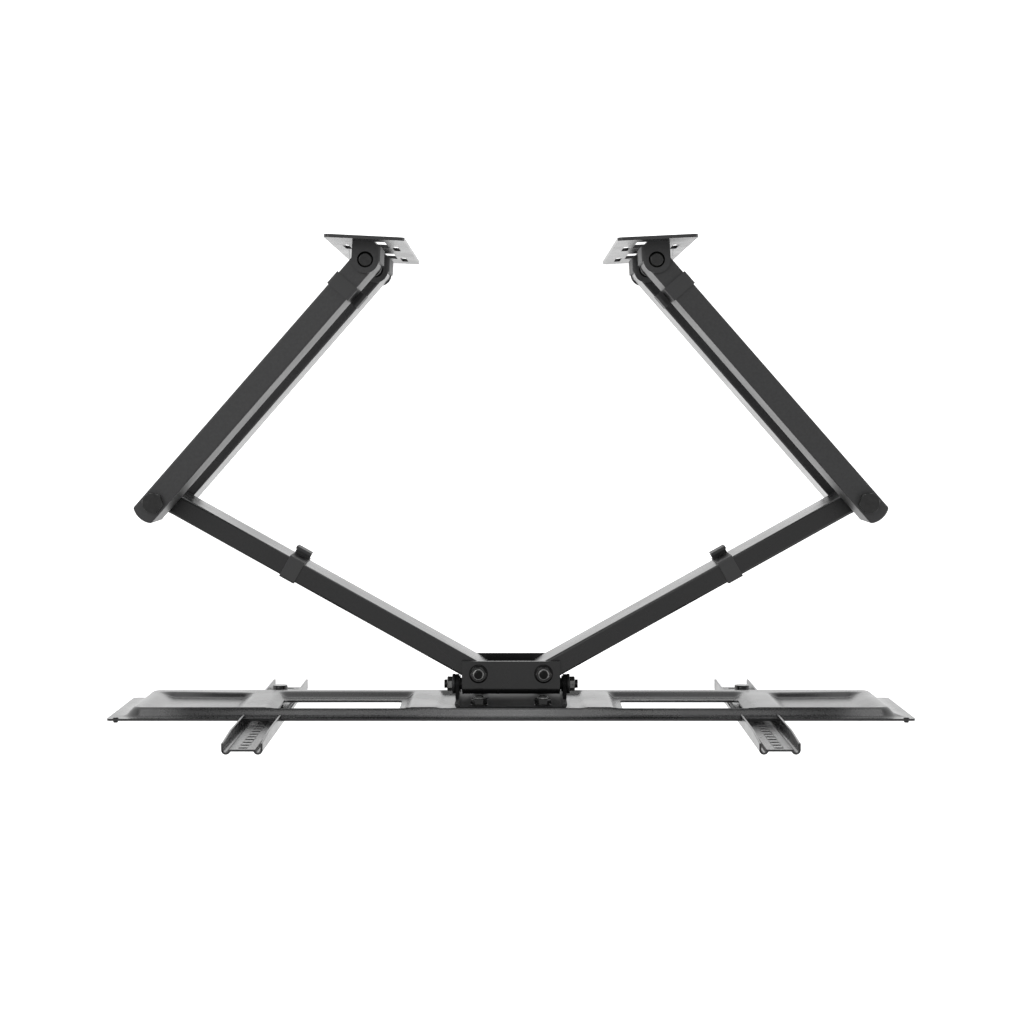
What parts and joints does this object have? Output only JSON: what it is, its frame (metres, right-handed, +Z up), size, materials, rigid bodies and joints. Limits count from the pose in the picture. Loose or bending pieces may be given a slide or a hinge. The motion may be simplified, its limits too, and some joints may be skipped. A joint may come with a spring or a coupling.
{
  "type": "tv wall mount",
  "caption": "Full-motion wall mount for a flat screen: wall plates, folding steel arms, tilting head, wide plate and hook-on rails with slots.",
  "frame": {"origin": "under the middle of the outline, on the surface that the wall plates and the rails stand on", "axes": "+X across the screen to the right, +Y from the screen toward the wall, +Z up along the pivots"},
  "size_m": [0.732, 0.4426, 0.418],
  "materials": {
    "black_steel": "satin black powder coat",
    "black_hardware": "black oxide, semi gloss",
    "black_plastic": "moulded, fine grain",
    "zinc_steel": "zinc plated"
  },
  "bodies": {
    "head": {"head_channel": "black_steel", "head_pivot_bolts": "black_hardware", "head_pivot_nuts": "black_hardware", "head_washers": "black_plastic", "tilt_studs": "black_hardware", "tilt_washers": "black_plastic", "tilt_nuts": "black_hardware"},
    "screen_side": {"tv_bracket": "black_steel", "tv_bracket_bolts": "black_hardware", "tv_bracket_nuts": "zinc_steel", "tv_plate": "black_steel"},
    "rail_left": {"rail_left": "black_steel", "lock_screw_left": "black_hardware"},
    "tv_arm_left": {"tv_arm_left": "black_steel", "tv_arm_sleeves_left": "zinc_steel", "tv_arm_plugs_left": "black_plastic", "tv_arm_clip_left": "black_plastic"},
    "wall_arm_left": {"wall_arm_upper_left": "black_steel", "wall_arm_lower_left": "black_steel", "wall_arm_sleeves_left": "zinc_steel", "wall_arm_plugs_left": "black_plastic", "wall_arm_clip_left": "black_plastic", "elbow_bolt_left": "black_hardware", "elbow_nut_left": "black_hardware", "elbow_spacers_left": "black_hardware"},
    "wall_plate_left": {"wall_plate_left": "black_steel", "wall_bracket_upper_left": "black_steel", "wall_bracket_lower_left": "black_steel", "wall_pivot_bolts_left": "black_hardware", "wall_pivot_nuts_left": "black_hardware", "wall_pivot_washers_left": "black_hardware"},
    "rail_right": {"rail_right": "black_steel", "lock_screw_right": "black_hardware"},
    "tv_arm_right": {"tv_arm_right": "black_steel", "tv_arm_sleeves_right": "zinc_steel", "tv_arm_plugs_right": "black_plastic", "tv_arm_clip_right": "black_plastic"},
    "wall_arm_right": {"wall_arm_upper_right": "black_steel", "wall_arm_lower_right": "black_steel", "wall_arm_sleeves_right": "zinc_steel", "wall_arm_plugs_right": "black_plastic", "wall_arm_clip_right": "black_plastic", "elbow_bolt_right": "black_hardware", "elbow_nut_right": "black_hardware", "elbow_spacers_right": "black_hardware"},
    "wall_plate_right": {"wall_plate_right": "black_steel", "wall_bracket_upper_right": "black_steel", "wall_bracket_lower_right": "black_steel", "wall_pivot_bolts_right": "black_hardware", "wall_pivot_nuts_right": "black_hardware", "wall_pivot_washers_right": "black_hardware"}
  },
  "joints": [
    {"name": "tilt", "type": "hinge", "parent": "head", "child": "screen_side", "pos_m": [0, -0.1899, 0.1895], "axis": [1, 0, 0], "range_deg": [-10, 10]},
    {"name": "rail_slide_left", "type": "slide", "parent": "screen_side", "child": "rail_left", "axis": [-1, 0, 0], "range_m": [-0.15, 0.11]},
    {"name": "head_pivot_left", "type": "hinge", "parent": "head", "child": "tv_arm_left", "pos_m": [-0.03, -0.1765, 0.1895], "axis": [0, 0, -1], "range_deg": [-12, 25]},
    {"name": "elbow_left", "type": "hinge", "parent": "tv_arm_left", "child": "wall_arm_left", "pos_m": [-0.31852, -0.01591, 0.1895], "axis": [0, 0, 1], "range_deg": [-60, 65]},
    {"name": "wall_pivot_left", "type": "hinge", "parent": "wall_arm_left", "child": "wall_plate_left", "pos_m": [-0.12966, 0.20059, 0.1895], "axis": [0, 0, -1], "range_deg": [-45, 40]},
    {"name": "rail_slide_right", "type": "slide", "parent": "screen_side", "child": "rail_right", "axis": [1, 0, 0], "range_m": [-0.15, 0.11]},
    {"name": "head_pivot_right", "type": "hinge", "parent": "head", "child": "tv_arm_right", "pos_m": [0.03, -0.1765, 0.1895], "axis": [0, 0, 1], "range_deg": [-12, 25]},
    {"name": "elbow_right", "type": "hinge", "parent": "tv_arm_right", "child": "wall_arm_right", "pos_m": [0.31852, -0.01591, 0.1895], "axis": [0, 0, -1], "range_deg": [-60, 65]},
    {"name": "wall_pivot_right", "type": "hinge", "parent": "wall_arm_right", "child": "wall_plate_right", "pos_m": [0.12966, 0.20059, 0.1895], "axis": [0, 0, 1], "range_deg": [-45, 40]}
  ]
}
